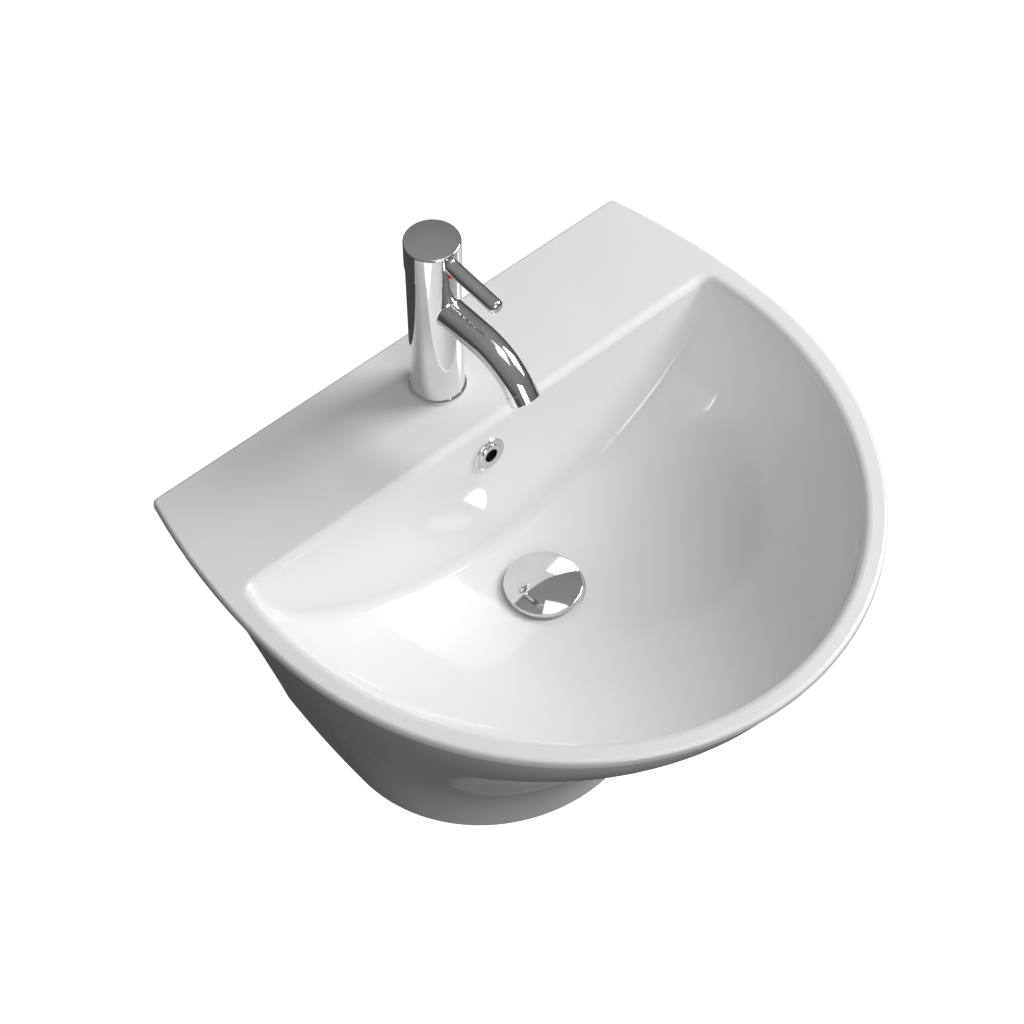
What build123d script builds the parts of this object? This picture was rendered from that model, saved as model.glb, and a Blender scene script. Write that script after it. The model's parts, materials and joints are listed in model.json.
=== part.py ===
from build123d import *
from math import cos, radians, sin, sqrt, tan
import os

os.makedirs("parts", exist_ok=True)

# All sizes are in millimetres. The wall is the plane Y = 0, the front is -Y, up is +Z, and the
# origin is midway between the two wall fixing holes. Heights on the basin are drops below the rim.

# Rim and deck
rim_height = 95.0            # rim above the fixing holes
basin_width = 510.0
basin_back_width = 469.0     # at the wall
basin_depth = 448.0
widest_from_wall = 158.0
lip_height = 8.0             # upright edge of the rim
lip_overhang = 6.0           # rim beyond the shroud
lip_top_radius = 3.0
lip_bottom_radius = 2.0
back_corner_radius = 5.0
china_wall = 10.0
deck_depth = 113.0           # wall to the bowl's back wall
deck_thickness = 14.0

# Shroud below the rim
basin_height = 360.0
foot_width = 278.0
foot_back_width = 266.0
foot_depth = 242.0
foot_widest_from_wall = 110.0
side_taper = 1.04            # how fast the sides draw in below the rim
front_fullness = 1.5         # how long the front stays full, for the bowl's wall behind it
front_taper = 2.0
shroud_levels = (0, 0.1, 0.24, 0.42, 0.65, 0.85, 1)
foot_radius = 3.0
past_wall = 12.0             # forms run this far past the wall before they are cut flat

# Bowl
bowl_width = 472.0
bowl_front = 430.0           # wall to the bowl's front at the rim
bowl_centre = 157.0          # wall to the widest place of the bowl
bowl_rear = 240.0            # rear half axis, cut off by the back wall
bowl_depth = 143.0
bowl_fullness = 1.176        # 2 over the profile's power of 1.7
bowl_levels = (0, 15, 30, 44, 57, 69, 81.4)
back_wall_slope = 3.0
crease_radius = 9.0
bowl_roll_radius = 7.0

# Openings in the casting
waste_from_wall = 178.0
waste_hole_diameter = 46.0
waste_seat_diameter = 67.0
waste_boss_diameter = 84.0
waste_boss_drop = 186.0
overflow_drop = 32.0
overflow_hole_diameter = 22.0
channel_width = 40.0
channel_depth = 12.0
channel_wall = 8.0
channel_top_drop = 20.0
channel_floor_drop = 178.0
channel_roof_drop = 164.0
tap_inset = 56.4             # wall to the tap's axis
tap_hole_diameter = 35.0

# Wall fixing
fixing_spacing = 280.0
fixing_hole_diameter = 18.0
rear_plate_thickness = 14.0
rear_plate_drop = 150.0

# Overflow ring
overflow_ring_diameter = 29.0
overflow_ring_height = 2.6
overflow_lip_diameter = 20.0
overflow_lip_height = 0.9
overflow_bore = 12.0
overflow_sleeve_length = 11.0

# Fits
running_gap = 0.10
seat_gap = 0.30
overshoot = 1.0              # cuts run this far past the face they open

# Click-clack waste, its heights measured up from the bowl's waste seat
waste_seal_height = 2.0
waste_seal_diameter = 60.0
flange_diameter = 62.0
flange_height = 3.0
flange_edge_radius = 1.8
flange_mouth_diameter = 44.0
waste_thread_diameter = 41.9
waste_tube_bore = 36.0
waste_tail_length = 72.0
window_width = 16.0
window_height = 15.0
spider_drop = 8.0
spider_height = 5.0
spider_rib = 3.5
latch_diameter = 12.0
latch_length = 34.0
latch_collar = 2.0
latch_floor = 2.5
latch_top = 1.5
latch_chamfer = 1.0
cap_clearance = 0.8          # cap's rim above the flange when closed
cap_seal_proud = 0.5
plunger_diameter = 6.0
plunger_chamfer = 0.8
cap_diameter = 63.0
cap_edge_height = 1.6
cap_edge_radius = 1.0
cap_rise = 4.6
cap_boss_diameter = 14.0
cap_boss_length = 4.0
cap_seal_diameter = 56.0
cap_seal_width = 4.0
cap_seal_height = 2.4
lower_seal_diameter = 62.0
lower_seal_height = 5.0
backnut_diameter = 58.0
backnut_height = 9.0
backnut_chamfer = 2.0

# Bottle trap, hung on the waste's tail
pipe_diameter = 32.0
pipe_wall = 1.5
trap_nut_height = 22.0
trap_nut_wall = 4.0
trap_nut_lip = 3.0
nut_ribs = 12
nut_rib_radius = 1.6
trap_seal_height = 2.5
trap_nut_grip = 8.0          # thread inside a slip nut
collar_height = 2.5
trap_diameter = 62.0
trap_wall = 3.0
trap_top_drop = 245.0
trap_neck_height = 11.0
trap_neck_wall = 3.5
trap_outlet_drop = 273.0
trap_joint_drop = 314.0
trap_floor_drop = 354.0
trap_thread_height = 10.0
trap_cup_floor = 4.0
cup_seal_height = 2.0
cup_radius = 8.0
outlet_grip = 20.0           # pipe inside the trap's stub
tube_end_drop = 338.0
outlet_stub_length = 17.0
cone_seal_height = 5.0
cone_seal_chamfer = 2.0
pipe_past_wall = 35.0
stop_groove_width = 2.0      # round the pipe at the wall, the stop of the drain's socket
stop_groove_depth = 0.4
wall_flange_diameter = 66.0
wall_flange_height = 7.0
wall_flange_radius = 5.6

# Tap body and spout, measured up from the deck
tap_body_diameter = 41.8
tap_body_top = 131.0
base_ring_diameter = 44.6
base_ring_height = 3.0
base_ring_lift = 0.2         # ring's foot above the deck, taken up by the seal
base_ring_chamfer = 0.7
base_seal_diameter = 41.0
base_seal_width = 3.0
base_seal_height = 1.8
spigot_diameter = 32.0
spigot_length = 4.0
spout_diameter = 24.4
spout_height = 96.6
spout_straight = 53.6        # tap axis to the start of the bend
spout_bend_radius = 54.0
spout_turn = 52.0
waterway_diameter = 11.0
spout_root_radius = 1.5
sleeve_diameter = 24.4
sleeve_length = 9.0
sleeve_wall = 1.8
nipple_length = 4.0
sleeve_lip = 1.0
sleeve_chamfer = 0.5
aerator_diameter = 16.8
aerator_sink = 1.5           # aerator's body in the spout, past the nipple's root
aerator_hole = 1.3
aerator_hole_pitch = 2.4
aerator_hole_depth = 1.2
aerator_seal_height = 1.5
aerator_recess = 0.8
inlet_thread_bore = 9.0
inlet_thread_depth = 14.0
inlet_spacing = 19.0
inlet_offset = 3.0
feed_bore = 4.0
feed_spacing = 13.0
feed_offset = 3.5
outlet_bore = 6.0
outlet_offset = 7.0

# Cartridge, its heights measured from the pivot pin
pivot_below_body_top = 4.0
bay_diameter = 31.0
bay_floor_below_pivot = 23.0
nut_bore_diameter = 36.0
nut_bore_depth = 10.0
housing_wall = 2.0
housing_base = 3.0
housing_top_below_pivot = 3.0
housing_top_thickness = 3.0
disc_thickness = 3.6
moving_disc_diameter = 20.0
moving_disc_thickness = 4.0
carrier_width = 16.0
carrier_top_below_pivot = 6.4
collar_diameter = 22.4
collar_rise = 2.0
rail_below_pivot = 11.8
spindle_width = 8.0
spindle_depth = 7.0
spindle_rise = 16.0
spindle_foot_drop = 8.0
spindle_ball_diameter = 6.0
spindle_neck_diameter = 4.4
rotor_slot_length = 15.0
pin_diameter = 3.0
cartridge_nut_bore = 25.2
cartridge_nut_height = 3.6
dome_radius = 16.5
dome_thickness = 1.5
dome_opening_angle = 60.0
slide_gap = 0.05             # between the two ceramic discs
foot_gap = 0.15              # each side of the spindle's foot in the carrier
spindle_shoulder = 5.0
spindle_chamfer = 0.8
notch_size = 3.0
port_seal_height = 1.5
port_seal_width = 1.2

# Handle
hub_diameter = 43.4
hub_height = 31.5
hub_gap = 0.8
hub_wall = 3.0
hub_top_rise = 3.0
hub_edge_radius = 1.6
hub_hollow = 16.0            # pivot to the hub's inner roof
hub_boss_diameter = 17.0
hub_boss_drop = 9.0
hub_relief_angle = 24.0      # rear of the hub's foot, cut away so that it can tip back
lever_diameter = 11.6
lever_height = 150.0
lever_reach = 74.0
lever_droop = 4.5
lever_tenon_diameter = 8.0
lever_tenon_length = 9.0
lever_seat_depth = 2.5
lever_tip_radius = 3.5
grub_diameter = 5.0
grub_length = 5.5
grub_socket = 2.9
grub_height = 140.0
index_diameter = 7.4
index_length = 3.2
index_proud = 0.25
index_edge_radius = 0.5

# Tap fixing below the deck
stud_diameter = 8.0
stud_offset = 9.5
stud_below_deck = 62.0
stud_chamfer = 1.0
horseshoe_diameter = 45.0
horseshoe_gap = 30.0
horseshoe_root = 4.0         # tap's axis to the closed end of the gap
gasket_height = 3.0
washer_height = 2.5
fixing_nut_flats = 13.0
fixing_nut_height = 22.0

# Places that several pieces share
up = (0, 0, 1)
front = (0, -1, 0)
tap_deck = Plane((0, -tap_inset, rim_height))
tap_forward = Plane((0, -tap_inset, rim_height), x_dir=(0, -1, 0), z_dir=(-1, 0, 0))
tap_axis = Axis((0, -tap_inset, 0), up)
pivot_height = tap_body_top - pivot_below_body_top
pivot_level = tap_deck.offset(pivot_height)
pivot_side = Plane(pivot_level.origin, x_dir=(1, 0, 0), z_dir=front)
pivot_across = Plane(pivot_level.origin, x_dir=(0, 1, 0), z_dir=(1, 0, 0))
grub_plane = Plane((0, -tap_inset, rim_height + grub_height), x_dir=(1, 0, 0), z_dir=front)
lever_plane = Plane(
    origin=(0, -tap_inset - hub_diameter / 2, rim_height + lever_height),
    x_dir=(1, 0, 0),
    z_dir=(0, -cos(radians(lever_droop)), -sin(radians(lever_droop))),
)
waste_axis = Axis((0, -waste_from_wall, 0), up)
waste_seat = rim_height - bowl_depth
waste_side = Plane((0, -waste_from_wall, waste_seat), x_dir=(1, 0, 0), z_dir=front)
wall_slope = radians(back_wall_slope)
overflow_plane = Plane(
    origin=(0, -deck_depth - overflow_drop * tan(wall_slope), rim_height - overflow_drop),
    x_dir=(1, 0, 0),
    z_dir=(0, -cos(wall_slope), sin(wall_slope)),
)
channel_mid = rim_height - (channel_floor_drop + channel_roof_drop) / 2


def ring(plane, outer, inner, height):
    """A plain round ring or washer standing on a plane."""
    with BuildPart() as turned:
        with BuildSketch(plane):
            Circle(outer / 2)
            Circle(inner / 2, mode=Mode.SUBTRACT)
        extrude(amount=height)
    return turned.part


def waste_level(height):
    """A level plane on the waste's axis, measured up from the bowl's waste seat."""
    return Plane((0, -waste_from_wall, waste_seat + height))


def save(piece, name):
    """Label one finished piece and write it to its own file."""
    piece.label = name
    export_step(piece, f"parts/{name}.step")


def back_wall_plane(grow):
    """The bowl's back wall, leaning to the front as it goes down, moved to the wall by grow."""
    return Plane(
        origin=(0, -deck_depth + grow, rim_height),
        x_dir=(1, 0, 0),
        z_dir=(0, -cos(wall_slope), sin(wall_slope)),
    )


def draw_d(plane, half_width, half_back, reach, widest, corner):
    """D outline: half an ellipse to the front, side arcs drawn in towards the wall."""
    draw_in = half_width - half_back
    side_radius = (widest**2 + draw_in**2) / (2 * draw_in)
    run = widest + (0 if corner else past_wall)
    half_end = half_width - side_radius + sqrt(side_radius**2 - run**2)
    with BuildSketch(plane) as outline:
        with BuildLine():
            EllipticalCenterArc((0, -widest), half_width, reach - widest, 180, arc_size=180)
            right = TangentArc((half_width, -widest), (half_end, run - widest), tangent=(0, 1))
            left = TangentArc((-half_width, -widest), (-half_end, run - widest), tangent=(0, 1))
            Line(right @ 1, left @ 1)
        make_face()
        if corner:
            fillet(outline.vertices().group_by(Axis.Y)[-1], corner)
    return outline.sketch


def shroud_section(drop, inset):
    """The shroud's outline at a drop below the rim, drawn in by inset."""
    share = (drop - lip_height) / (basin_height - lip_height)
    ease = (1 - share) ** side_taper
    front_ease = (1 - share**front_fullness) ** front_taper
    half_top = basin_width / 2 - lip_overhang
    half_back_top = basin_back_width / 2 - lip_overhang
    reach_top = basin_depth - lip_overhang
    half_width = foot_width / 2 + (half_top - foot_width / 2) * ease
    half_back = foot_back_width / 2 + (half_back_top - foot_back_width / 2) * ease
    reach = foot_depth + (reach_top - foot_depth) * front_ease
    widest = foot_widest_from_wall + (widest_from_wall - foot_widest_from_wall) * ease
    plane = Plane.XY.offset(rim_height - drop)
    return draw_d(plane, half_width - inset, half_back - inset, reach - inset, widest, 0)


def shroud_form(top_drop, inset, extra_top, extra_bottom):
    """The shroud as a solid from a drop below the rim to the foot, and a little past both."""
    with BuildPart() as form:
        for share in shroud_levels:
            add(shroud_section(top_drop + (basin_height - top_drop) * share, inset))
        loft()
        if extra_top:
            extrude(form.faces().sort_by(Axis.Z)[-1], amount=extra_top)
        if extra_bottom:
            extrude(form.faces().sort_by(Axis.Z)[0], amount=extra_bottom)
    return form.part


def bowl_form(grow):
    """The bowl's hollow, or with grow its outside: half ellipses that close on the waste."""
    with BuildPart() as form:
        for angle in bowl_levels:
            size = cos(radians(angle))
            sink = sin(radians(angle)) ** bowl_fullness
            centre = bowl_centre + (waste_from_wall - bowl_centre) * sink
            level = rim_height - (bowl_depth + grow) * sink
            half_width = (bowl_width / 2 + grow) * size
            front_reach = (bowl_front - bowl_centre + grow) * size
            rear_reach = (bowl_rear + grow) * size
            with BuildSketch(Plane((0, -centre, level))):
                with BuildLine():
                    EllipticalCenterArc((0, 0), half_width, front_reach, 180, arc_size=180)
                    EllipticalCenterArc((0, 0), half_width, rear_reach, 0, arc_size=180)
                make_face()
        loft()
        extrude(form.faces().sort_by(Axis.Z)[-1], amount=past_wall)
        split(bisect_by=back_wall_plane(grow), keep=Keep.TOP)
        if not grow:
            back_wall = form.faces().filter_by(GeomType.PLANE).sort_by(Axis.Y)[-1]
            fillet(back_wall.edges().sort_by(Axis.Z)[:-1], crease_radius)
    return form.part


# Space inside the shroud: below the deck, round the bowl's outside, in front of the rear plate
with BuildPart() as shroud_hollow:
    add(shroud_form(deck_thickness, china_wall, 0, past_wall))
    add(bowl_form(china_wall), mode=Mode.SUBTRACT)
    with BuildSketch(Plane.XY.offset(rim_height - rear_plate_drop)):
        with Locations((0, (past_wall * 2 - rear_plate_thickness) / 2)):
            Rectangle(basin_width, past_wall * 2 + rear_plate_thickness)
    extrude(amount=rear_plate_drop, mode=Mode.SUBTRACT)
    with BuildSketch(Plane((0, -waste_from_wall, rim_height - waste_boss_drop))):
        Circle(waste_boss_diameter / 2)
    extrude(amount=waste_boss_drop, mode=Mode.SUBTRACT)
    channel_back = deck_depth - china_wall - channel_depth - channel_wall
    with BuildSketch(Plane.XY.offset(rim_height - channel_floor_drop - channel_wall)):
        with Locations((0, -(channel_back + waste_from_wall) / 2)):
            Rectangle(channel_width + 2 * channel_wall, waste_from_wall - channel_back)
    extrude(amount=channel_floor_drop, mode=Mode.SUBTRACT)

# One casting: rim band and shroud, less the space inside, the bowl and the holes
with BuildPart() as basin_body:
    rim_outline = draw_d(
        Plane.XY.offset(rim_height - lip_height),
        basin_width / 2,
        basin_back_width / 2,
        basin_depth,
        widest_from_wall,
        back_corner_radius,
    )
    add(rim_outline)
    extrude(amount=lip_height)
    fillet(basin_body.edges().group_by(Axis.Z)[-1], lip_top_radius)
    lower_edges = basin_body.edges().group_by(Axis.Z)[0]
    fillet(lower_edges.filter_by(GeomType.LINE, reverse=True), lip_bottom_radius)
    add(shroud_form(lip_height, 0, lip_height / 2, 0))
    split(bisect_by=Plane.XZ, keep=Keep.TOP)
    add(shroud_hollow.part, mode=Mode.SUBTRACT)
    add(bowl_form(0), mode=Mode.SUBTRACT)
    rim_top = basin_body.faces().filter_by(GeomType.PLANE).sort_by(Axis.Z)[-1]
    fillet(rim_top.inner_wires()[0].edges(), bowl_roll_radius)
    foot = basin_body.faces().filter_by(GeomType.PLANE).sort_by(Axis.Z)[0]
    fillet(foot.edges().filter_by(lambda edge: edge.length > basin_depth / 2), foot_radius)
    # Waste seat and hole
    with BuildSketch(Plane((0, -waste_from_wall, waste_seat))):
        Circle(waste_seat_diameter / 2)
    extrude(amount=past_wall, mode=Mode.SUBTRACT)
    with BuildSketch(Plane((0, -waste_from_wall, rim_height - waste_boss_drop))):
        Circle(waste_hole_diameter / 2)
    extrude(amount=waste_boss_drop - bowl_depth, mode=Mode.SUBTRACT)
    # Overflow channel: down behind the bowl, then forward to the waste hole
    channel_near = deck_depth - china_wall - channel_depth
    with BuildSketch(Plane.XY.offset(rim_height - channel_floor_drop)):
        with Locations((0, -(channel_near + channel_depth / 2))):
            Rectangle(channel_width, channel_depth)
    extrude(amount=channel_floor_drop - channel_top_drop, mode=Mode.SUBTRACT)
    with BuildSketch(Plane.XY.offset(rim_height - channel_floor_drop)):
        with Locations((0, -(channel_near + waste_from_wall) / 2)):
            Rectangle(channel_width, waste_from_wall - channel_near)
    extrude(amount=channel_floor_drop - channel_roof_drop, mode=Mode.SUBTRACT)
    with BuildSketch(overflow_plane):
        Circle(overflow_hole_diameter / 2)
    extrude(amount=-(china_wall + channel_depth / 2), mode=Mode.SUBTRACT)
    # Tap hole and wall fixing holes
    with BuildSketch(tap_deck):
        Circle(tap_hole_diameter / 2)
    extrude(amount=-2 * deck_thickness, mode=Mode.SUBTRACT)
    with BuildSketch(Plane.XZ):
        with GridLocations(fixing_spacing, 0, 2, 1):
            Circle(fixing_hole_diameter / 2)
    extrude(amount=2 * rear_plate_thickness, mode=Mode.SUBTRACT)
save(basin_body.part, "basin_body")

# Overflow ring: rounded flange with a raised lip, and a sleeve into the casting
with BuildPart() as overflow_ring:
    with BuildSketch(overflow_plane):
        Circle(overflow_ring_diameter / 2)
    extrude(amount=overflow_ring_height)
    fillet(overflow_ring.edges().sort_by(Axis.Y)[0], overflow_ring_height / 2)
    with BuildSketch(overflow_plane.offset(overflow_ring_height)):
        Circle(overflow_lip_diameter / 2)
    extrude(amount=overflow_lip_height)
    chamfer(overflow_ring.edges().sort_by(Axis.Y)[0], overflow_lip_height / 2)
    with BuildSketch(overflow_plane):
        Circle(overflow_hole_diameter / 2 - running_gap)
    extrude(amount=-overflow_sleeve_length)
    with BuildSketch(overflow_plane.offset(-overflow_sleeve_length)):
        Circle(overflow_bore / 2)
    extrude(amount=2 * overflow_sleeve_length, mode=Mode.SUBTRACT)
save(overflow_ring.part, "overflow_ring")

# Waste: flange and threaded tube with overflow windows and a spider for the latch
flange_top = waste_seal_height + flange_height
waste_radius = waste_thread_diameter / 2
waste_bore = waste_tube_bore / 2
save(
    ring(waste_level(0), waste_seal_diameter, waste_thread_diameter + 2 * running_gap, waste_seal_height),
    "waste_top_seal",
)
with BuildPart() as waste_body:
    with BuildSketch(waste_side):
        with BuildLine():
            Polyline(
                (waste_bore, -waste_tail_length),
                (waste_radius, -waste_tail_length),
                (waste_radius, waste_seal_height),
                (flange_diameter / 2, waste_seal_height),
                (flange_diameter / 2, flange_top),
                (flange_mouth_diameter / 2, flange_top),
                (waste_bore, flange_top - (flange_mouth_diameter / 2 - waste_bore)),
                close=True,
            )
        make_face()
    revolve(axis=waste_axis)
    top_edges = waste_body.edges().filter_by(GeomType.CIRCLE).group_by(Axis.Z)[-1]
    outer_edge = top_edges.sort_by(SortBy.LENGTH)[-1]
    fillet(outer_edge, flange_edge_radius)
    window_level = channel_mid - waste_seat - window_height / 2
    with BuildSketch(waste_level(window_level)):
        with PolarLocations(waste_radius, 4):
            Rectangle(waste_radius, window_width)
    extrude(amount=window_height, mode=Mode.SUBTRACT)
    with BuildSketch(waste_level(-spider_drop - spider_height)):
        Circle(latch_diameter / 2 + spider_rib)
        with PolarLocations(waste_bore / 2, 3):
            Rectangle(waste_bore + overshoot, spider_rib)
        Circle(latch_diameter / 2 + running_gap, mode=Mode.SUBTRACT)
    extrude(amount=spider_height)
save(waste_body.part, "waste_body")

# Click-clack latch: a tube with a collar that rests on the spider, bored for the plunger
latch_foot = latch_top - latch_length
with BuildPart() as waste_latch:
    with BuildSketch(waste_level(latch_foot)):
        Circle(latch_diameter / 2)
    extrude(amount=latch_length)
    with BuildSketch(waste_level(-spider_drop)):
        Circle(latch_diameter / 2 + spider_rib)
    extrude(amount=latch_collar)
    with BuildSketch(waste_level(latch_foot + latch_floor)):
        Circle(plunger_diameter / 2 + running_gap)
    extrude(amount=latch_length, mode=Mode.SUBTRACT)
    chamfer(waste_latch.edges().group_by(Axis.Z)[0], latch_chamfer)
save(waste_latch.part, "waste_latch")

# Cap: shallow dome with a groove for its seal and a boss for the plunger
cap_level = flange_top + cap_clearance
cap_foot = cap_level - cap_boss_length
with BuildPart() as waste_cap:
    with BuildSketch(waste_side):
        with BuildLine():
            Line((0, cap_level), (cap_diameter / 2, cap_level))
            Line((cap_diameter / 2, cap_level), (cap_diameter / 2, cap_level + cap_edge_height))
            TangentArc(
                (0, cap_level + cap_edge_height + cap_rise),
                (cap_diameter / 2, cap_level + cap_edge_height),
                tangent=(1, 0),
            )
            Line((0, cap_level + cap_edge_height + cap_rise), (0, cap_level))
        make_face()
    revolve(axis=waste_axis)
    fillet(waste_cap.edges().sort_by(SortBy.LENGTH)[-2:].sort_by(Axis.Z)[-1], cap_edge_radius)
    with BuildSketch(waste_level(cap_foot)):
        Circle(cap_boss_diameter / 2)
    extrude(amount=cap_boss_length + cap_edge_height)
    with BuildSketch(waste_level(cap_level)):
        Circle(cap_seal_diameter / 2)
        Circle(cap_seal_diameter / 2 - cap_seal_width, mode=Mode.SUBTRACT)
    extrude(amount=cap_seal_height - cap_seal_proud, mode=Mode.SUBTRACT)
    with BuildSketch(waste_level(cap_foot)):
        Circle(plunger_diameter / 2)
    extrude(amount=cap_boss_length + cap_edge_height, mode=Mode.SUBTRACT)
save(waste_cap.part, "waste_cap")
save(
    ring(
        waste_level(cap_level - cap_seal_proud),
        cap_seal_diameter,
        cap_seal_diameter - 2 * cap_seal_width,
        cap_seal_height,
    ),
    "waste_cap_seal",
)

# Plunger, screwed into the cap and sliding in the latch
plunger_foot = latch_foot + latch_floor + seat_gap
with BuildPart() as waste_plunger:
    with BuildSketch(waste_level(plunger_foot)):
        Circle(plunger_diameter / 2)
    extrude(amount=cap_level + cap_edge_height - plunger_foot)
    chamfer(waste_plunger.edges().group_by(Axis.Z)[0], plunger_chamfer)
save(waste_plunger.part, "waste_plunger")

# Lower seal and backnut clamp the waste against the boss
boss_foot = bowl_depth - waste_boss_drop
save(
    ring(
        waste_level(boss_foot - lower_seal_height),
        lower_seal_diameter,
        waste_thread_diameter + 2 * running_gap,
        lower_seal_height,
    ),
    "waste_lower_seal",
)
with BuildPart() as waste_backnut:
    with BuildSketch(waste_level(boss_foot - lower_seal_height - backnut_height)):
        RegularPolygon(backnut_diameter / 2, 8)
        Circle(waste_radius + running_gap, mode=Mode.SUBTRACT)
    extrude(amount=backnut_height)
    chamfer(waste_backnut.edges().filter_by(Axis.Z), backnut_chamfer)
save(waste_backnut.part, "waste_backnut")

# Trap inlet: nut on the waste's tail, seal, and a collared tube down into the bottle
tail_foot = -waste_tail_length
collar_top = tail_foot - trap_seal_height
collar_foot = collar_top - collar_height
nut_foot = collar_foot - trap_nut_lip - running_gap
pipe_radius = pipe_diameter / 2
with BuildPart() as trap_inlet_nut:
    with BuildSketch(waste_level(nut_foot)):
        Circle(waste_radius + running_gap + trap_nut_wall)
        with PolarLocations(waste_radius + trap_nut_wall, nut_ribs):
            Circle(nut_rib_radius)
    extrude(amount=trap_nut_height)
    with BuildSketch(waste_level(nut_foot)):
        Circle(pipe_radius + seat_gap)
    extrude(amount=trap_nut_height, mode=Mode.SUBTRACT)
    with BuildSketch(waste_level(nut_foot + trap_nut_lip)):
        Circle(waste_radius + running_gap)
    extrude(amount=trap_nut_height, mode=Mode.SUBTRACT)
save(trap_inlet_nut.part, "trap_inlet_nut")
save(
    ring(
        waste_level(collar_top),
        waste_thread_diameter - 4 * running_gap,
        waste_tube_bore,
        trap_seal_height,
    ),
    "trap_inlet_seal",
)
with BuildPart() as trap_inlet_tube:
    with BuildSketch(waste_level(bowl_depth - tube_end_drop)):
        Circle(pipe_radius)
    extrude(amount=collar_top + tube_end_drop - bowl_depth)
    with BuildSketch(waste_level(collar_foot)):
        Circle(waste_radius - 2 * running_gap)
    extrude(amount=collar_height)
    with BuildSketch(waste_level(bowl_depth - tube_end_drop)):
        Circle(pipe_radius - pipe_wall)
    extrude(amount=tube_end_drop, mode=Mode.SUBTRACT)
save(trap_inlet_tube.part, "trap_inlet_tube")

# Bottle: neck, rounded shoulder, straight wall and a side stub towards the wall
trap_radius = trap_diameter / 2
neck_radius = pipe_radius + seat_gap + trap_neck_wall
neck_foot = bowl_depth - trap_top_drop
neck_top = neck_foot + trap_neck_height
joint = bowl_depth - trap_joint_drop
shoulder = trap_radius - neck_radius
outlet_level = bowl_depth - trap_outlet_drop
outlet_plane = Plane((0, -waste_from_wall, waste_seat + outlet_level), z_dir=(0, 1, 0))
stub_reach = trap_radius + outlet_stub_length
with BuildPart() as trap_body:
    with BuildSketch(waste_side):
        with BuildLine():
            Polyline((0, joint), (trap_radius, joint), (trap_radius, neck_foot - shoulder))
            RadiusArc((trap_radius, neck_foot - shoulder), (neck_radius, neck_foot), -shoulder)
            Polyline((neck_radius, neck_foot), (neck_radius, neck_top), (0, neck_top), (0, joint))
        make_face()
    revolve(axis=waste_axis)
    with BuildSketch(outlet_plane):
        Circle(neck_radius)
    extrude(amount=stub_reach)
    with BuildSketch(waste_side):
        with BuildLine():
            roof = neck_foot - shoulder
            inner = trap_radius - trap_wall
            Polyline((0, joint), (inner, joint), (inner, roof))
            RadiusArc((inner, roof), (pipe_radius + seat_gap, neck_foot - trap_wall), -shoulder - overshoot)
            Polyline(
                (pipe_radius + seat_gap, neck_foot - trap_wall),
                (pipe_radius + seat_gap, neck_top),
                (0, neck_top),
                (0, joint),
            )
        make_face()
    revolve(axis=waste_axis, mode=Mode.SUBTRACT)
    with BuildSketch(outlet_plane.offset(pipe_radius)):
        Circle(pipe_radius + seat_gap)
    extrude(amount=stub_reach, mode=Mode.SUBTRACT)
save(trap_body.part, "trap_body")

# Cup that unscrews for cleaning, its neck inside the bottle, and the seal between the two
cup_rim = joint - cup_seal_height
cup_foot = bowl_depth - trap_floor_drop
cup_neck = trap_radius - trap_wall - running_gap
with BuildPart() as trap_cup:
    with BuildSketch(waste_level(cup_foot)):
        Circle(trap_radius)
    extrude(amount=cup_rim - cup_foot)
    fillet(trap_cup.edges().group_by(Axis.Z)[0], cup_radius)
    with BuildSketch(waste_level(cup_rim)):
        Circle(cup_neck)
    extrude(amount=cup_seal_height + trap_thread_height)
    with BuildSketch(waste_level(cup_foot + trap_cup_floor)):
        Circle(cup_neck - trap_wall)
    extrude(amount=trap_floor_drop, mode=Mode.SUBTRACT)
save(trap_cup.part, "trap_cup")
save(
    ring(waste_level(cup_rim), trap_diameter, 2 * (cup_neck + running_gap), cup_seal_height),
    "trap_cup_seal",
)


def slip_nut(plane):
    """Ribbed nut that slips over a pipe and screws onto a neck; its lip is at the plane."""
    with BuildPart() as nut:
        with BuildSketch(plane):
            Circle(neck_radius + running_gap + trap_neck_wall)
            with PolarLocations(neck_radius + trap_neck_wall, nut_ribs):
                Circle(nut_rib_radius)
        extrude(amount=-(trap_nut_lip + cone_seal_height + trap_nut_grip))
        with BuildSketch(plane):
            Circle(pipe_radius + seat_gap)
        extrude(amount=-trap_nut_height, mode=Mode.SUBTRACT)
        with BuildSketch(plane.offset(-trap_nut_lip)):
            Circle(neck_radius + running_gap)
        extrude(amount=-trap_nut_height, mode=Mode.SUBTRACT)
    return nut.part


def cone_seal(plane):
    """Rubber ring squeezed between a neck and its slip nut, with a chamfered outer edge."""
    with BuildPart() as seal:
        with BuildSketch(plane):
            Circle(neck_radius)
            Circle(pipe_radius, mode=Mode.SUBTRACT)
        extrude(amount=cone_seal_height)
        outer_edges = seal.edges().group_by(SortBy.LENGTH)[-1]
        chamfer(outer_edges.sort_by(Axis((0, 0, 0), plane.z_dir))[-1], cone_seal_chamfer)
    return seal.part


top_seal_plane = waste_level(neck_top)
outlet_seal_plane = outlet_plane.offset(stub_reach)
save(cone_seal(top_seal_plane), "trap_top_seal")
save(slip_nut(top_seal_plane.offset(cone_seal_height + trap_nut_lip)), "trap_top_nut")
save(cone_seal(outlet_seal_plane), "trap_outlet_seal")
save(slip_nut(outlet_seal_plane.offset(cone_seal_height + trap_nut_lip)), "trap_outlet_nut")

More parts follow.
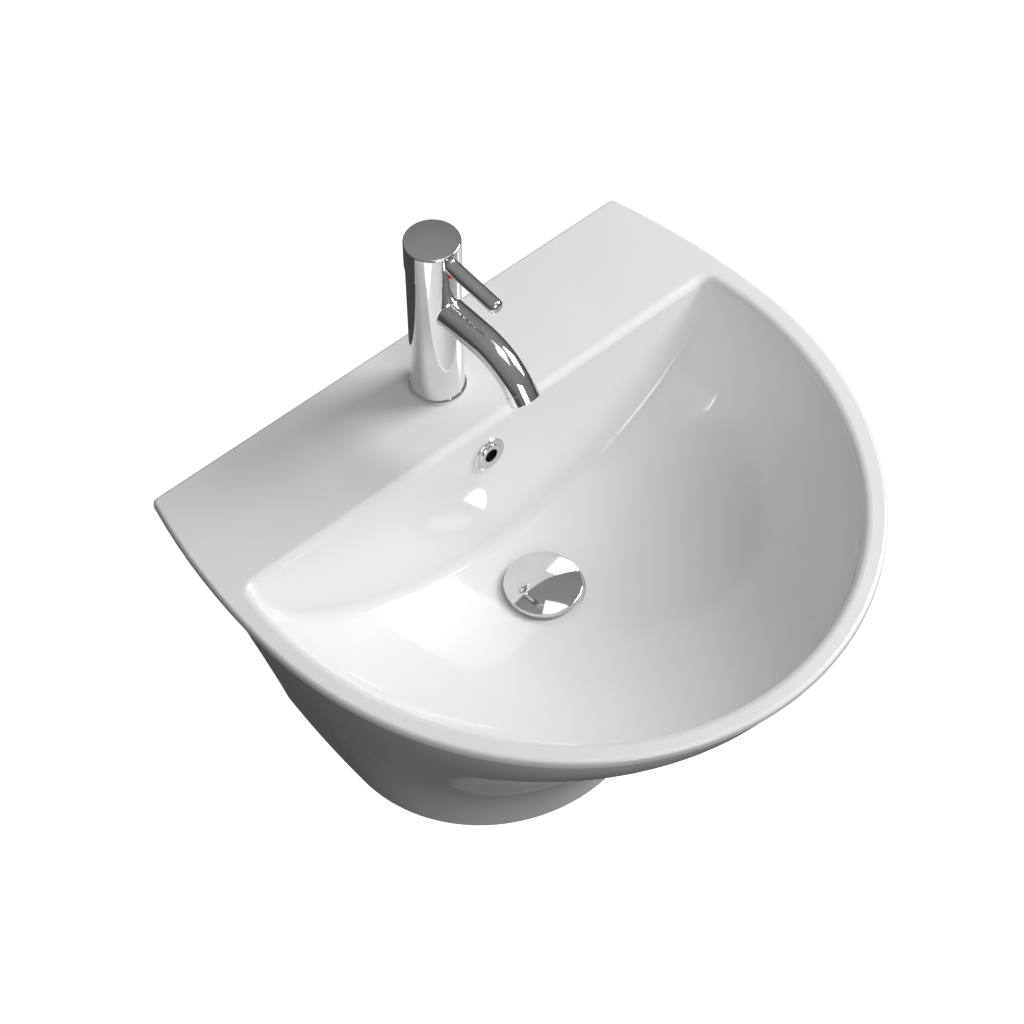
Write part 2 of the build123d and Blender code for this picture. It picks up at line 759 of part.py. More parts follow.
# Outlet pipe through the wall, with the round cover that hides its hole
pipe_start = stub_reach - outlet_grip
with BuildPart() as trap_outlet_pipe:
    with BuildSketch(outlet_plane.offset(pipe_start)):
        Circle(pipe_radius)
        Circle(pipe_radius - pipe_wall, mode=Mode.SUBTRACT)
    extrude(amount=waste_from_wall + pipe_past_wall - pipe_start)
    with BuildSketch(outlet_plane.offset(waste_from_wall)):
        Circle(pipe_radius + overshoot)
        Circle(pipe_radius - stop_groove_depth, mode=Mode.SUBTRACT)
    extrude(amount=stop_groove_width, mode=Mode.SUBTRACT)
save(trap_outlet_pipe.part, "trap_outlet_pipe")
with BuildPart() as trap_wall_flange:
    with BuildSketch(outlet_plane.offset(waste_from_wall)):
        Circle(wall_flange_diameter / 2)
    extrude(amount=-wall_flange_height)
    fillet(trap_wall_flange.edges().sort_by(Axis.Y)[0], wall_flange_radius)
    with BuildSketch(outlet_plane.offset(waste_from_wall)):
        Circle(pipe_radius + seat_gap)
    extrude(amount=-wall_flange_height, mode=Mode.SUBTRACT)
save(trap_wall_flange.part, "trap_wall_flange")

# Tap base ring, with a groove below for its seal
spigot_radius = spigot_diameter / 2
with BuildPart() as tap_base_ring:
    with BuildSketch(tap_deck.offset(base_ring_lift)):
        Circle(base_ring_diameter / 2)
    extrude(amount=base_ring_height - base_ring_lift)
    chamfer(tap_base_ring.edges().group_by(Axis.Z)[-1], base_ring_chamfer)
    with BuildSketch(tap_deck):
        Circle(spigot_radius + running_gap)
        Circle(base_seal_diameter / 2)
        Circle(base_seal_diameter / 2 - base_seal_width, mode=Mode.SUBTRACT)
    extrude(amount=base_seal_height, mode=Mode.SUBTRACT)
    with BuildSketch(tap_deck):
        Circle(spigot_radius + running_gap)
    extrude(amount=base_ring_height, mode=Mode.SUBTRACT)
save(tap_base_ring.part, "tap_base_ring")
save(
    ring(tap_deck, base_seal_diameter, base_seal_diameter - 2 * base_seal_width, base_seal_height),
    "tap_base_seal",
)

# Tap body: round pillar with a spigot below and a bent spout, cast in one
bay_floor = pivot_height - bay_floor_below_pivot
with BuildLine(tap_forward) as spout_path:
    spout_run = Line((0, spout_height), (spout_straight, spout_height))
    spout_bend = JernArc(spout_run @ 1, spout_run % 1, spout_bend_radius, -spout_turn)
spout_end = Plane(origin=spout_bend @ 1, x_dir=(1, 0, 0), z_dir=spout_bend % 1)
with BuildPart() as tap_body:
    with BuildSketch(tap_deck.offset(base_ring_height)):
        Circle(tap_body_diameter / 2)
    extrude(amount=tap_body_top - base_ring_height)
    with BuildSketch(Plane(origin=spout_run @ 0, x_dir=(1, 0, 0), z_dir=front)):
        Circle(spout_diameter / 2)
    sweep(path=spout_path.line)
    root = tap_body.edges().filter_by(GeomType.BSPLINE).sort_by(SortBy.LENGTH)[-1]
    fillet(root, spout_root_radius)
    with BuildSketch(tap_deck.offset(-spigot_length)):
        Circle(spigot_radius)
    extrude(amount=spigot_length + base_ring_height)
    with BuildSketch(spout_end):
        Circle(sleeve_diameter / 2 - sleeve_wall - running_gap)
    extrude(amount=nipple_length)
    # Waterway through the spout, and the aerator's seat at its end
    with BuildSketch(Plane(origin=spout_run @ 0, x_dir=(1, 0, 0), z_dir=front)):
        Circle(waterway_diameter / 2)
    sweep(path=spout_path.line, mode=Mode.SUBTRACT)
    with BuildSketch(spout_end.offset(nipple_length)):
        Circle(aerator_diameter / 2 + running_gap)
    extrude(amount=-(nipple_length + aerator_sink), mode=Mode.SUBTRACT)
    # Cartridge bay and the wider bore for its nut
    with BuildSketch(tap_deck.offset(bay_floor)):
        Circle(bay_diameter / 2)
    extrude(amount=tap_body_top - bay_floor, mode=Mode.SUBTRACT)
    with BuildSketch(tap_deck.offset(tap_body_top)):
        Circle(nut_bore_diameter / 2)
    extrude(amount=-nut_bore_depth, mode=Mode.SUBTRACT)
    # Hot and cold inlets from below, their feeds up to the bay, and the outlet down to the spout
    with BuildSketch(tap_deck.offset(-spigot_length)):
        with Locations((0, inlet_offset)):
            with GridLocations(inlet_spacing, 0, 2, 1):
                Circle(inlet_thread_bore / 2)
        with Locations((0, -stud_offset)):
            Circle(stud_diameter / 2)
    extrude(amount=inlet_thread_depth, mode=Mode.SUBTRACT)
    with BuildSketch(tap_deck):
        with Locations((0, feed_offset)):
            with GridLocations(feed_spacing, 0, 2, 1):
                Circle(feed_bore / 2)
    extrude(amount=bay_floor, mode=Mode.SUBTRACT)
    with BuildSketch(tap_deck.offset(spout_height)):
        with Locations((0, -outlet_offset)):
            Circle(outlet_bore / 2)
    extrude(amount=bay_floor - spout_height, mode=Mode.SUBTRACT)
save(tap_body.part, "tap_body")

# Aerator: sleeve on the spout's nipple, perforated insert and its seal
with BuildPart() as aerator_sleeve:
    with BuildSketch(spout_end):
        Circle(sleeve_diameter / 2)
    extrude(amount=sleeve_length)
    chamfer(aerator_sleeve.edges(), sleeve_chamfer)
    with BuildSketch(spout_end):
        Circle(sleeve_diameter / 2 - sleeve_wall)
    extrude(amount=sleeve_length - aerator_recess, mode=Mode.SUBTRACT)
    with BuildSketch(spout_end):
        Circle(sleeve_diameter / 2 - sleeve_wall - sleeve_lip)
    extrude(amount=sleeve_length, mode=Mode.SUBTRACT)
save(aerator_sleeve.part, "aerator_sleeve")
insert_foot = nipple_length + aerator_seal_height
insert_radius = sleeve_diameter / 2 - sleeve_wall - running_gap
save(
    ring(
        spout_end.offset(nipple_length),
        2 * insert_radius,
        aerator_diameter + 4 * running_gap,
        aerator_seal_height,
    ),
    "aerator_seal",
)
with BuildPart() as aerator_insert:
    with BuildSketch(spout_end.offset(insert_foot)):
        Circle(insert_radius)
    extrude(amount=sleeve_length - aerator_recess - insert_foot)
    with BuildSketch(spout_end.offset(insert_foot)):
        Circle(aerator_diameter / 2)
    extrude(amount=-(insert_foot + aerator_sink - seat_gap))
    with BuildSketch(spout_end.offset(sleeve_length - aerator_recess)):
        Circle(aerator_hole / 2)
        for row in (1, 2, 3):
            with PolarLocations(row * aerator_hole_pitch, 6 * row):
                Circle(aerator_hole / 2)
    extrude(amount=-aerator_hole_depth, mode=Mode.SUBTRACT)
save(aerator_insert.part, "aerator_insert")

# Cartridge housing: cup with ports in its base, seal grooves below and a neck for the rotor
housing_radius = bay_diameter / 2 - running_gap
housing_bore = housing_radius - housing_wall
housing_top = pivot_height - housing_top_below_pivot
disc_floor = bay_floor + housing_base


def port_holes(inlet, outlet):
    """Hot and cold ports side by side, and the outlet port in front of them."""
    with Locations((0, feed_offset)):
        with GridLocations(feed_spacing, 0, 2, 1):
            Circle(inlet / 2)
    with Locations((0, -outlet_offset)):
        Circle(outlet / 2)


port_groove = 2 * (port_seal_width + 2 * running_gap)
port_seal = 2 * (port_seal_width + running_gap)
with BuildPart() as cartridge_housing:
    with BuildSketch(tap_deck.offset(bay_floor)):
        Circle(housing_radius)
    extrude(amount=housing_top - bay_floor)
    with BuildSketch(tap_deck.offset(disc_floor)):
        Circle(housing_bore)
    extrude(amount=housing_top - housing_top_thickness - disc_floor, mode=Mode.SUBTRACT)
    with BuildSketch(tap_deck.offset(disc_floor)):
        Circle(collar_diameter / 2 + running_gap)
    extrude(amount=housing_top - disc_floor, mode=Mode.SUBTRACT)
    with BuildSketch(tap_deck.offset(bay_floor)):
        port_holes(feed_bore, outlet_bore)
    extrude(amount=housing_base, mode=Mode.SUBTRACT)
    with BuildSketch(tap_deck.offset(bay_floor)):
        port_holes(feed_bore + port_groove, outlet_bore + port_groove)
    extrude(amount=port_seal_height, mode=Mode.SUBTRACT)
save(cartridge_housing.part, "cartridge_housing")

# Three rubber rings that seal the ports against the floor of the bay
with BuildPart() as cartridge_seals:
    with BuildSketch(tap_deck.offset(bay_floor)):
        port_holes(feed_bore + port_seal, outlet_bore + port_seal)
    extrude(amount=port_seal_height)
    with BuildSketch(tap_deck.offset(bay_floor)):
        port_holes(feed_bore + 2 * running_gap, outlet_bore + 2 * running_gap)
    extrude(amount=port_seal_height, mode=Mode.SUBTRACT)
save(cartridge_seals.part, "cartridge_seals")

# Fixed ceramic disc with its ports
with BuildPart() as fixed_disc:
    with BuildSketch(tap_deck.offset(disc_floor)):
        Circle(housing_bore - running_gap)
    extrude(amount=disc_thickness)
    with BuildSketch(tap_deck.offset(disc_floor)):
        port_holes(feed_bore, outlet_bore)
    extrude(amount=disc_thickness, mode=Mode.SUBTRACT)
save(fixed_disc.part, "fixed_disc")

# Moving disc: its mixing pocket opens the inlets to the outlet as it slides
moving_floor = disc_floor + disc_thickness + slide_gap
with BuildPart() as moving_disc:
    with BuildSketch(tap_deck.offset(moving_floor)):
        Circle(moving_disc_diameter / 2)
    extrude(amount=moving_disc_thickness)
    with BuildSketch(tap_deck.offset(moving_floor)):
        with Locations((0, -outlet_offset / 2)):
            SlotOverall(feed_spacing, outlet_bore)
    extrude(amount=moving_disc_thickness / 2, mode=Mode.SUBTRACT)
save(moving_disc.part, "moving_disc")

# Carrier on the moving disc: flats at its sides for the rotor's rails, a pocket for the spindle's foot
carrier_floor = moving_floor + moving_disc_thickness
carrier_top = pivot_height - carrier_top_below_pivot
with BuildPart() as disc_carrier:
    with BuildSketch(tap_deck.offset(carrier_floor)):
        Circle(moving_disc_diameter / 2)
        Rectangle(carrier_width, moving_disc_diameter, mode=Mode.INTERSECT)
        Rectangle(
            spindle_ball_diameter + 4 * running_gap,
            spindle_ball_diameter + 2 * foot_gap,
            mode=Mode.SUBTRACT,
        )
    extrude(amount=carrier_top - carrier_floor)
save(disc_carrier.part, "disc_carrier")

# Rotor: collar in the housing's neck, slotted for the spindle, with two rails beside the carrier
rotor_foot = housing_top - housing_top_thickness - running_gap
with BuildPart() as cartridge_rotor:
    with BuildSketch(pivot_level.offset(-rail_below_pivot)):
        Circle(housing_bore - running_gap)
        Rectangle(carrier_width + 4 * running_gap, 2 * housing_bore, mode=Mode.SUBTRACT)
    extrude(amount=rotor_foot + rail_below_pivot - pivot_height)
    with BuildSketch(tap_deck.offset(rotor_foot)):
        Circle(collar_diameter / 2)
    extrude(amount=pivot_height + collar_rise - rotor_foot)
    with BuildSketch(tap_deck.offset(rotor_foot)):
        Rectangle(spindle_width + 2 * running_gap, rotor_slot_length)
    extrude(amount=collar_diameter, mode=Mode.SUBTRACT)
    with BuildSketch(pivot_across):
        Circle(pin_diameter / 2)
    extrude(amount=collar_diameter, both=True, mode=Mode.SUBTRACT)
save(cartridge_rotor.part, "cartridge_rotor")
with BuildPart() as pivot_pin:
    with BuildSketch(pivot_across):
        Circle(pin_diameter / 2)
    extrude(amount=collar_diameter / 2 - seat_gap, both=True)
save(pivot_pin.part, "pivot_pin")

# Spindle: square above, bored for the pin, with a ball foot in the carrier
with BuildPart() as cartridge_spindle:
    with BuildSketch(pivot_level.offset(-spindle_shoulder)):
        Rectangle(spindle_width, spindle_depth)
    extrude(amount=spindle_rise + spindle_shoulder)
    chamfer(cartridge_spindle.edges().group_by(Axis.Z)[-1], spindle_chamfer)
    with BuildSketch(pivot_level.offset(-spindle_foot_drop)):
        Circle(spindle_neck_diameter / 2)
    extrude(amount=spindle_foot_drop)
    with Locations(pivot_level.offset(-spindle_foot_drop)):
        Sphere(spindle_ball_diameter / 2)
    with BuildSketch(pivot_across):
        Circle(pin_diameter / 2 + running_gap)
    extrude(amount=spindle_width, both=True, mode=Mode.SUBTRACT)
save(cartridge_spindle.part, "cartridge_spindle")

# Ring nut that holds the cartridge down, with four notches for its key
with BuildPart() as cartridge_nut:
    with BuildSketch(tap_deck.offset(housing_top)):
        Circle(nut_bore_diameter / 2 - running_gap)
        Circle(cartridge_nut_bore / 2, mode=Mode.SUBTRACT)
    extrude(amount=cartridge_nut_height)
    with BuildSketch(tap_deck.offset(housing_top + cartridge_nut_height)):
        with PolarLocations(cartridge_nut_bore / 2, 4):
            Rectangle(notch_size, notch_size)
    extrude(amount=-cartridge_nut_height / 2, mode=Mode.SUBTRACT)
save(cartridge_nut.part, "cartridge_nut")

# Dome: flange in the body's top bore and a shell round the pivot that the hub tips over
opening = radians(dome_opening_angle)
dome_inner = dome_radius - dome_thickness
flange_foot = cartridge_nut_height - housing_top_below_pivot + seat_gap
flange_radius = nut_bore_diameter / 2 - running_gap
with BuildPart() as dome_cover:
    with BuildSketch(pivot_side):
        with BuildLine():
            start = (sqrt(dome_radius**2 - pivot_below_body_top**2), pivot_below_body_top)
            crest = (dome_radius * sin(opening), dome_radius * cos(opening))
            inner_crest = (dome_inner * sin(opening), dome_inner * cos(opening))
            inner_start = (sqrt(dome_inner**2 - flange_foot**2), flange_foot)
            RadiusArc(start, crest, -dome_radius)
            Line(crest, inner_crest)
            RadiusArc(inner_crest, inner_start, dome_inner)
            Polyline(
                inner_start,
                (flange_radius, flange_foot),
                (flange_radius, pivot_below_body_top),
                start,
            )
        make_face()
    revolve(axis=tap_axis)
save(dome_cover.part, "dome_cover")

# Handle hub: hollow round cap with a low dome, a boss for the spindle and a foot cut away behind
hub_foot = pivot_below_body_top + hub_gap
hub_radius = hub_diameter / 2
hub_shoulder = hub_foot + hub_height - hub_top_rise
with BuildPart() as handle_hub:
    with BuildSketch(pivot_side):
        with BuildLine():
            Polyline((0, hub_foot), (hub_radius, hub_foot), (hub_radius, hub_shoulder))
            TangentArc((0, hub_shoulder + hub_top_rise), (hub_radius, hub_shoulder), tangent=(1, 0))
            Line((0, hub_shoulder + hub_top_rise), (0, hub_foot))
        make_face()
    revolve(axis=tap_axis)
    fillet(handle_hub.edges().sort_by(SortBy.LENGTH)[-2:].sort_by(Axis.Z)[-1], hub_edge_radius)
    with BuildSketch(pivot_level):
        Circle(hub_radius - hub_wall)
    extrude(amount=hub_hollow, mode=Mode.SUBTRACT)
    with BuildSketch(pivot_level.offset(hub_hollow - hub_boss_drop)):
        Circle(hub_boss_diameter / 2)
    extrude(amount=hub_boss_drop + overshoot)
    with BuildSketch(pivot_level.offset(hub_hollow - hub_boss_drop)):
        Rectangle(spindle_width + running_gap, spindle_depth + running_gap)
    extrude(amount=spindle_rise + running_gap - hub_hollow + hub_boss_drop, mode=Mode.SUBTRACT)
    # The relief lets the foot swing down behind the pivot without meeting the body
    with BuildSketch(pivot_across):
        with BuildLine():
            Polyline(
                (0, hub_foot),
                (hub_diameter, hub_foot + hub_diameter * tan(radians(hub_relief_angle))),
                (hub_diameter, hub_foot - overshoot),
                (0, hub_foot - overshoot),
                close=True,
            )
        make_face()
    extrude(amount=hub_diameter, both=True, mode=Mode.SUBTRACT)
    # Seat and threaded hole for the lever
    with BuildSketch(lever_plane.offset(-lever_seat_depth)):
        Circle(lever_diameter / 2 + running_gap / 2)
    extrude(amount=hub_diameter, mode=Mode.SUBTRACT)
    with BuildSketch(lever_plane):
        Circle(lever_tenon_diameter / 2)
    extrude(amount=-lever_seat_depth - lever_tenon_length, mode=Mode.SUBTRACT)
    # Grub screw hole through the boss, and the hole in the wall that the index button fills
    with BuildSketch(grub_plane):
        Circle(grub_diameter / 2)
    extrude(amount=hub_boss_diameter / 2 + overshoot, mode=Mode.SUBTRACT)
    with BuildSketch(grub_plane.offset(hub_radius - hub_wall - overshoot)):
        Circle(index_diameter / 2)
    extrude(amount=hub_wall + 2 * overshoot, mode=Mode.SUBTRACT)
save(handle_hub.part, "handle_hub")

# Pin lever with a domed end and a tenon in the hub
with BuildPart() as lever:
    with BuildSketch(lever_plane.offset(-lever_seat_depth)):
        Circle(lever_diameter / 2)
    extrude(amount=lever_seat_depth + lever_reach - hub_radius)
    tip = lever.edges().filter_by(GeomType.CIRCLE).sort_by(Axis.Y)[0]
    fillet(tip, lever_tip_radius)
    with BuildSketch(lever_plane.offset(-lever_seat_depth)):
        Circle(lever_tenon_diameter / 2 - running_gap)
    extrude(amount=-lever_tenon_length + seat_gap)
save(lever.part, "lever")

# Grub screw on the spindle, with a hexagon socket, and the button over its hole
with BuildPart() as handle_set_screw:
    with BuildSketch(grub_plane.offset(spindle_depth / 2 + running_gap)):
        Circle(grub_diameter / 2)
    extrude(amount=grub_length)
    with BuildSketch(grub_plane.offset(spindle_depth / 2 + running_gap + grub_length)):
        RegularPolygon(grub_socket / 2, 6)
    extrude(amount=-grub_length / 2, mode=Mode.SUBTRACT)
save(handle_set_screw.part, "handle_set_screw")
with BuildPart() as index_button:
    with BuildSketch(grub_plane.offset(hub_radius + index_proud - index_length)):
        Circle(index_diameter / 2)
    extrude(amount=index_length)
    fillet(index_button.edges().sort_by(Axis.Y)[0], index_edge_radius)
save(index_button.part, "index_button")

# Fixing below the deck: stud, horseshoe gasket and washer, long nut
deck_foot = -deck_thickness


def horseshoe(level, height):
    """Round washer, open behind so that it passes the two hoses, with a hole for the stud."""
    with BuildPart() as washer:
        with BuildSketch(tap_deck.offset(level)):
            Circle(horseshoe_diameter / 2)
            with Locations((0, -horseshoe_root)):
                Rectangle(
                    horseshoe_gap,
                    horseshoe_diameter,
                    align=(Align.CENTER, Align.MIN),
                    mode=Mode.SUBTRACT,
                )
            with Locations((0, -stud_offset)):
                Circle(stud_diameter / 2 + seat_gap, mode=Mode.SUBTRACT)
        extrude(amount=height)
    return washer.part


washer_foot = deck_foot - gasket_height - washer_height
save(horseshoe(deck_foot - gasket_height, gasket_height), "fixing_gasket")
save(horseshoe(washer_foot, washer_height), "fixing_washer")
stud_plane = tap_deck.offset(-stud_below_deck)
with BuildPart() as fixing_stud:
    with BuildSketch(stud_plane):
        with Locations((0, -stud_offset)):
            Circle(stud_diameter / 2 - running_gap)
    extrude(amount=stud_below_deck - spigot_length + inlet_thread_depth - seat_gap)
    chamfer(fixing_stud.edges().group_by(Axis.Z)[0], stud_chamfer)
save(fixing_stud.part, "fixing_stud")
with BuildPart() as fixing_nut:
    with BuildSketch(tap_deck.offset(washer_foot)):
        with Locations((0, -stud_offset)):
            RegularPolygon(fixing_nut_flats / 2, 6, major_radius=False)
            Circle(stud_diameter / 2, mode=Mode.SUBTRACT)
    extrude(amount=-fixing_nut_height)
save(fixing_nut.part, "fixing_nut")
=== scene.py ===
import json

import bpy
from mathutils import Matrix, Vector

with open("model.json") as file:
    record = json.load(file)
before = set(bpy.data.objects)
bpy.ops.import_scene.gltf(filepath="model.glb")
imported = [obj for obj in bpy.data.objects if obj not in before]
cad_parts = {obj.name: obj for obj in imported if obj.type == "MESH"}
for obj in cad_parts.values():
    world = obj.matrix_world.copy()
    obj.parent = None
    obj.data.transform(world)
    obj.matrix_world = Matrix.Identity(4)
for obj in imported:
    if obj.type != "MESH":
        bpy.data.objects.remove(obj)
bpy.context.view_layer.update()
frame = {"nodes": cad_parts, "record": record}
nodes = frame["nodes"]
scene = bpy.context.scene


# Node graph helpers


class Graph:
    """Short calls for building one material's node tree."""

    def __init__(self, name):
        self.material = bpy.data.materials.new(name)
        self.material.use_nodes = True
        self.tree = self.material.node_tree
        self.shader = self.tree.nodes["Principled BSDF"]
        self.place = self.add("ShaderNodeTexCoord").outputs["Object"]

    def add(self, kind, **settings):
        node = self.tree.nodes.new(kind)
        for key, value in settings.items():
            setattr(node, key, value)
        return node

    def link(self, a, b):
        self.tree.links.new(a, b)

    def noise(self, scale, detail=2.0, rough=0.5, source=None):
        node = self.add("ShaderNodeTexNoise")
        node.inputs["Scale"].default_value = scale
        node.inputs["Detail"].default_value = detail
        node.inputs["Roughness"].default_value = rough
        self.link(source or self.place, node.inputs["Vector"])
        return node.outputs["Fac"]

    def stretched(self, x, y, z):
        node = self.add("ShaderNodeMapping")
        node.inputs["Scale"].default_value = (x, y, z)
        self.link(self.place, node.inputs["Vector"])
        return node.outputs["Vector"]

    def span(self, source, low, high, start=0.0, end=1.0):
        node = self.add("ShaderNodeMapRange")
        node.inputs["From Min"].default_value = start
        node.inputs["From Max"].default_value = end
        node.inputs["To Min"].default_value = low
        node.inputs["To Max"].default_value = high
        self.link(source, node.inputs["Value"])
        return node.outputs["Result"]

    def ramp(self, source, stops, kind="LINEAR"):
        node = self.add("ShaderNodeValToRGB")
        node.color_ramp.interpolation = kind
        while len(node.color_ramp.elements) < len(stops):
            node.color_ramp.elements.new(0.5)
        for element, (position, color) in zip(node.color_ramp.elements, stops):
            element.position = position
            element.color = (*color, 1.0)
        self.link(source, node.inputs["Fac"])
        return node.outputs["Color"]

    def mix(self, fac, a, b):
        node = self.add("ShaderNodeMix", data_type="RGBA")
        self.link(fac, node.inputs["Factor"])
        for value, socket in ((a, node.inputs["A"]), (b, node.inputs["B"])):
            if isinstance(value, tuple):
                socket.default_value = (*value, 1.0)
            else:
                self.link(value, socket)
        return node.outputs["Result"]

    def mix_value(self, fac, a, b):
        node = self.add("ShaderNodeMix", data_type="FLOAT")
        self.link(fac, node.inputs["Factor"])
        for value, socket in ((a, node.inputs["A"]), (b, node.inputs["B"])):
            if isinstance(value, float):
                socket.default_value = value
            else:
                self.link(value, socket)
        return node.outputs["Result"]

    def axis(self, name, source=None):
        node = self.add("ShaderNodeSeparateXYZ")
        self.link(source or self.place, node.inputs["Vector"])
        return node.outputs[name]

    def bump(self, height, strength, distance, after=None):
        node = self.add("ShaderNodeBump")
        node.inputs["Strength"].default_value = strength
        node.inputs["Distance"].default_value = distance
        self.link(height, node.inputs["Height"])
        if after:
            self.link(after, node.inputs["Normal"])
        return node.outputs["Normal"]

    def set(self, **values):
        for key, value in values.items():
            self.shader.inputs[key.replace("_", " ")].default_value = value

    def feed(self, socket, source):
        self.link(source, self.shader.inputs[socket])


# Materials


def china():
    """White glaze, faintly wavy, with bare fired clay on the back and the foot."""
    g = Graph("sanitary_china")
    cloud = g.noise(7.0, 3.0)
    glaze = g.ramp(cloud, [(0.30, (0.800, 0.800, 0.790)), (0.70, (0.830, 0.830, 0.822))])
    grain = g.noise(900.0, 2.0)
    clay = g.ramp(grain, [(0.35, (0.66, 0.62, 0.55)), (0.70, (0.74, 0.70, 0.63))])
    back = g.span(g.axis("Y"), 0.0, 1.0, -0.0012, -0.0004)
    foot = g.span(g.axis("Z"), 1.0, 0.0, -0.2645, -0.2635)
    bare = g.add("ShaderNodeMath", operation="MAXIMUM")
    g.link(back, bare.inputs[0])
    g.link(foot, bare.inputs[1])
    bare = bare.outputs[0]
    g.feed("Base Color", g.mix(bare, glaze, clay))
    g.feed("Roughness", g.mix_value(bare, g.span(g.noise(30.0), 0.045, 0.075), 0.75))
    wave = g.bump(g.noise(14.0, 1.0), 0.10, 0.004)
    g.feed("Normal", g.bump(g.noise(160.0, 1.0), 0.03, 0.0006, wave))
    g.set(IOR=1.52)
    return g.material


def chrome():
    """Polished chrome plate: slight tint, uneven haze, faint waves of the polishing."""
    g = Graph("polished_chrome")
    haze = g.noise(45.0, 4.0, 0.6)
    g.feed("Base Color", g.ramp(haze, [(0.30, (0.80, 0.81, 0.82)), (0.70, (0.86, 0.865, 0.87))]))
    g.feed("Roughness", g.span(haze, 0.025, 0.070))
    g.feed("Normal", g.bump(g.noise(70.0, 1.0), 0.02, 0.0006))
    g.set(Metallic=1.0)
    return g.material


def turned_metal(name, dark, light, low, high, pitch):
    """Machined metal: fine tool rings and a slightly cloudy tarnish."""
    g = Graph(name)
    cloud = g.noise(60.0, 4.0, 0.6)
    g.feed("Base Color", g.ramp(cloud, [(0.30, dark), (0.70, light)]))
    rings = g.noise(1.0, 1.0, 0.5, g.stretched(40.0, 40.0, pitch))
    g.feed("Roughness", g.span(rings, low, high))
    g.feed("Normal", g.bump(rings, 0.25, 0.0002))
    g.set(Metallic=1.0)
    return g.material


def rubber(name, dark, light):
    g = Graph(name)
    cloud = g.noise(120.0, 3.0)
    g.feed("Base Color", g.ramp(cloud, [(0.30, dark), (0.70, light)]))
    g.feed("Roughness", g.span(cloud, 0.55, 0.75))
    g.feed("Normal", g.bump(g.noise(1500.0, 2.0), 0.15, 0.0001))
    return g.material


def plastic(name, dark, light, low, high):
    g = Graph(name)
    cloud = g.noise(80.0, 2.0)
    g.feed("Base Color", g.ramp(cloud, [(0.30, dark), (0.70, light)]))
    g.feed("Roughness", g.span(g.noise(400.0), low, high))
    g.feed("Normal", g.bump(g.noise(2200.0, 2.0), 0.10, 0.00008))
    return g.material


def index_enamel():
    """Enamel dot, red on the hot side and blue on the cold, with a slight step in gloss."""
    g = Graph("index_enamel")
    side = g.span(g.axis("X"), 0.0, 1.0, -0.00008, 0.00008)
    g.feed("Base Color", g.mix(side, (0.72, 0.035, 0.02), (0.02, 0.09, 0.50)))
    g.feed("Roughness", g.span(g.noise(500.0), 0.10, 0.22))
    return g.material


made = {
    "sanitary_china": china(),
    "polished_chrome": chrome(),
    "bare_brass": turned_metal(
        "bare_brass", (0.62, 0.43, 0.18), (0.76, 0.56, 0.27), 0.18, 0.38, 3000.0
    ),
    "steel": turned_metal("steel", (0.52, 0.53, 0.55), (0.66, 0.67, 0.68), 0.22, 0.42, 2500.0),
    "black_rubber": rubber("black_rubber", (0.018, 0.018, 0.019), (0.035, 0.034, 0.033)),
    "white_seal": rubber("white_seal", (0.70, 0.70, 0.68), (0.78, 0.78, 0.75)),
    "technical_ceramic": plastic(
        "technical_ceramic", (0.80, 0.77, 0.70), (0.86, 0.83, 0.77), 0.15, 0.25
    ),
    "grey_plastic": plastic("grey_plastic", (0.10, 0.105, 0.115), (0.14, 0.145, 0.155), 0.35, 0.50),
    "white_plastic": plastic("white_plastic", (0.74, 0.74, 0.73), (0.82, 0.82, 0.81), 0.30, 0.45),
    "index_enamel": index_enamel(),
}
for part in frame["record"]["subparts"]:
    slots = nodes[part["node"]].data.materials
    slots.clear()
    slots.append(made[part["material_slot"]])

# Camera at the photograph's angle

right = Vector((0.749113, -0.662381, -0.009073))
up = Vector((0.524438, 0.584629, 0.619010))
back = Vector((-0.404716, -0.468466, 0.785331))
camera_place = (-0.9471, -1.2378, 1.8528)
camera_data = bpy.data.cameras.new("camera")
camera_data.lens = 105.47
camera_data.sensor_width = 36.0
camera_data.clip_end = 50.0
camera = bpy.data.objects.new("camera", camera_data)
turn = Matrix((right, up, back)).transposed().to_4x4()
camera.matrix_world = Matrix.Translation(camera_place) @ turn
scene.collection.objects.link(camera)
scene.camera = camera

# Floor, at the height below the rim where such a basin hangs

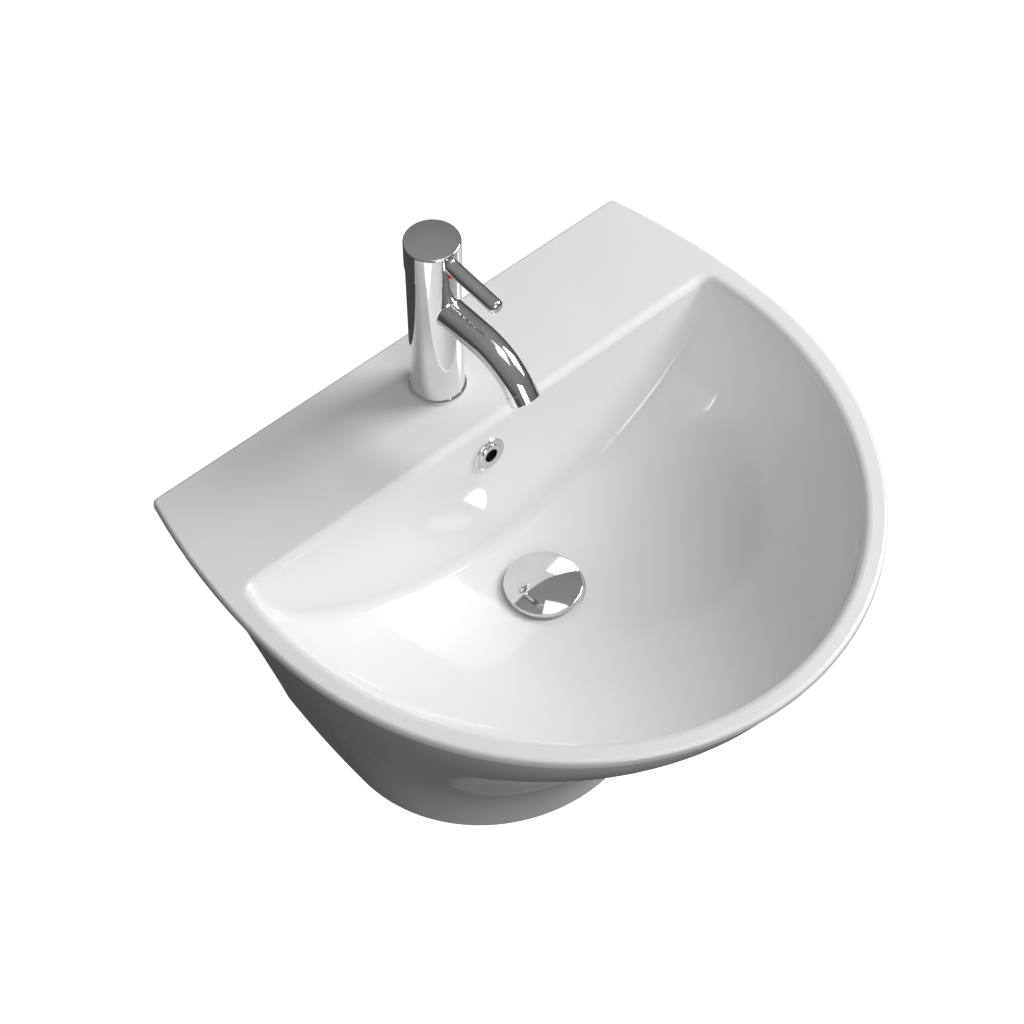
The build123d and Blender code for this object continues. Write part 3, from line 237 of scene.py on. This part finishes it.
floor_height = -0.755
floor_reach = 6.0
floor_glow = 0.55
floor_mesh = bpy.data.meshes.new("floor")
corners = [(x * floor_reach, y * floor_reach, floor_height) for x, y in ((-1, -1), (1, -1), (1, 1), (-1, 1))]
floor_mesh.from_pydata(corners, [], [(0, 1, 2, 3)])
floor = bpy.data.objects.new("floor", floor_mesh)
scene.collection.objects.link(floor)
g = Graph("floor")
speck = g.noise(3.0, 3.0)
g.feed("Base Color", g.ramp(speck, [(0.3, (0.93, 0.93, 0.93)), (0.7, (0.95, 0.95, 0.95))]))
g.set(Roughness=0.9)
floor_mesh.materials.append(g.material)
floor.visible_diffuse = False
floor.visible_glossy = False
g.set(Emission_Color=(1.0, 1.0, 1.0, 1.0), Emission_Strength=floor_glow)

# Soft studio light


aim = Vector((0.0, -0.2, 0.0))
key_power = 62.6
top_power = 5.8
front_power = 18.6
sky_strength = 0.28
sky_tint = 1.01


def softbox(name, place, width, height, power):
    data = bpy.data.lights.new(name, "AREA")
    data.shape = "RECTANGLE"
    data.size = width
    data.size_y = height
    data.energy = power
    lamp = bpy.data.objects.new(name, data)
    lamp.location = place
    lamp.rotation_euler = (aim - Vector(place)).to_track_quat("-Z", "Y").to_euler()
    scene.collection.objects.link(lamp)


softbox("key", (2.1, -0.9, 1.7), 1.3, 1.3, key_power)
softbox("top", (0.3, -0.6, 2.6), 1.6, 1.2, top_power)
softbox("front", (-0.6, -2.4, 1.1), 1.2, 0.8, front_power)

world = bpy.data.worlds.new("studio")
world.use_nodes = True
scene.world = world
tree = world.node_tree
sky = tree.nodes["Background"]
direction = tree.nodes.new("ShaderNodeTexCoord")
split = tree.nodes.new("ShaderNodeSeparateXYZ")
tree.links.new(direction.outputs["Generated"], split.inputs["Vector"])
height = tree.nodes.new("ShaderNodeMapRange")
height.inputs["From Min"].default_value = -1.0
height.inputs["From Max"].default_value = 1.0
tree.links.new(split.outputs["Z"], height.inputs["Value"])
tones = tree.nodes.new("ShaderNodeValToRGB")
sky_greys = ((0.0, 0.20), (0.46, 0.26), (0.56, 0.60), (1.0, 1.0))
stops = tones.color_ramp.elements
for position, grey in sky_greys[1:-1]:
    stops.new(position)
for stop, (position, grey) in zip(stops, sky_greys):
    stop.color = (grey, grey, min(grey * sky_tint, 1.0), 1.0)
tree.links.new(height.outputs["Result"], tones.inputs["Fac"])
tree.links.new(tones.outputs["Color"], sky.inputs["Color"])
sky.inputs["Strength"].default_value = sky_strength

scene.view_settings.view_transform = "Standard"
scene.view_settings.look = "None"
